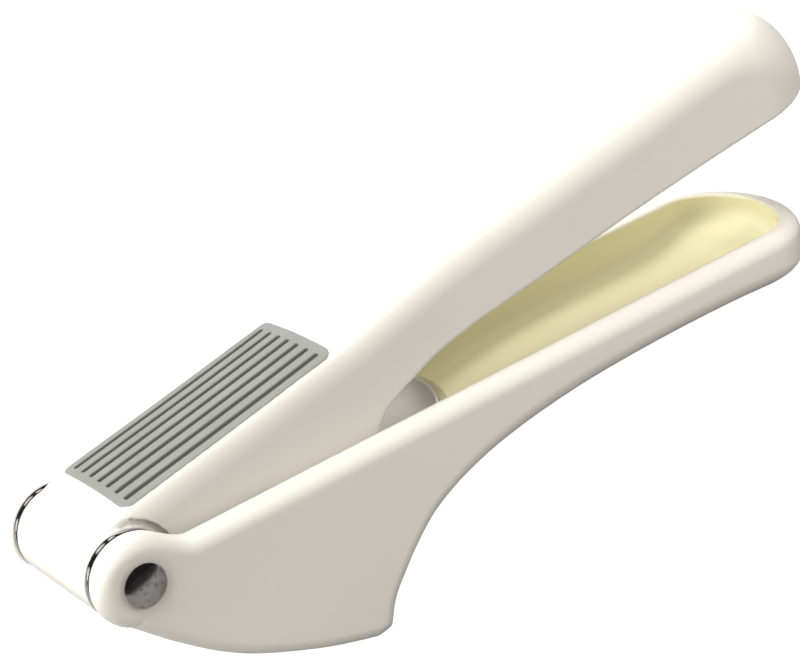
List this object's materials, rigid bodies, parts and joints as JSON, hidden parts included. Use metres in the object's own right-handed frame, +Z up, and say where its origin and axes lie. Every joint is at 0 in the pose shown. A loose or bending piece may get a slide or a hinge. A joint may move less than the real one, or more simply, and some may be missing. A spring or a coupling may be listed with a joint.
{
  "type": "garlic press",
  "caption": "Hand garlic press: a hinged lever drives a plunger into a lift-out steel hopper held by a tray-shaped lower handle.",
  "frame": {"origin": "middle of the small flat on the lower handle's heel, where the press stands on a table", "axes": "+X from the hinge end towards the handles' tails, +Y across the hinge away from the pin's domed head, +Z up from the table"},
  "size_m": [0.1976, 0.0446, 0.0574],
  "materials": {
    "ivory_plastic": "glossy moulded",
    "grey_grip": "soft-touch, grooved",
    "chrome": "polished",
    "stainless": "drawn and polished",
    "acetal": "natural"
  },
  "bodies": {
    "lower": {"lower_body": "ivory_plastic", "hopper_basket": "stainless", "sieve_plate": "stainless", "hinge_pin": "chrome", "hinge_pin_cap": "chrome", "hinge_washer_near": "chrome", "hinge_washer_far": "chrome"},
    "lever": {"upper_handle": "ivory_plastic", "grip_inlay": "grey_grip", "hinge_sleeve": "acetal", "plunger_block": "ivory_plastic", "plunger_plate": "stainless", "plunger_screw_front": "stainless", "plunger_screw_rear": "stainless"}
  },
  "joints": [
    {"name": "handle_hinge", "type": "hinge", "parent": "lower", "child": "lever", "pos_m": [-0.03622, 0, 0.04643], "axis": [0, -1, 0], "range_deg": [-7, 95]}
  ]
}
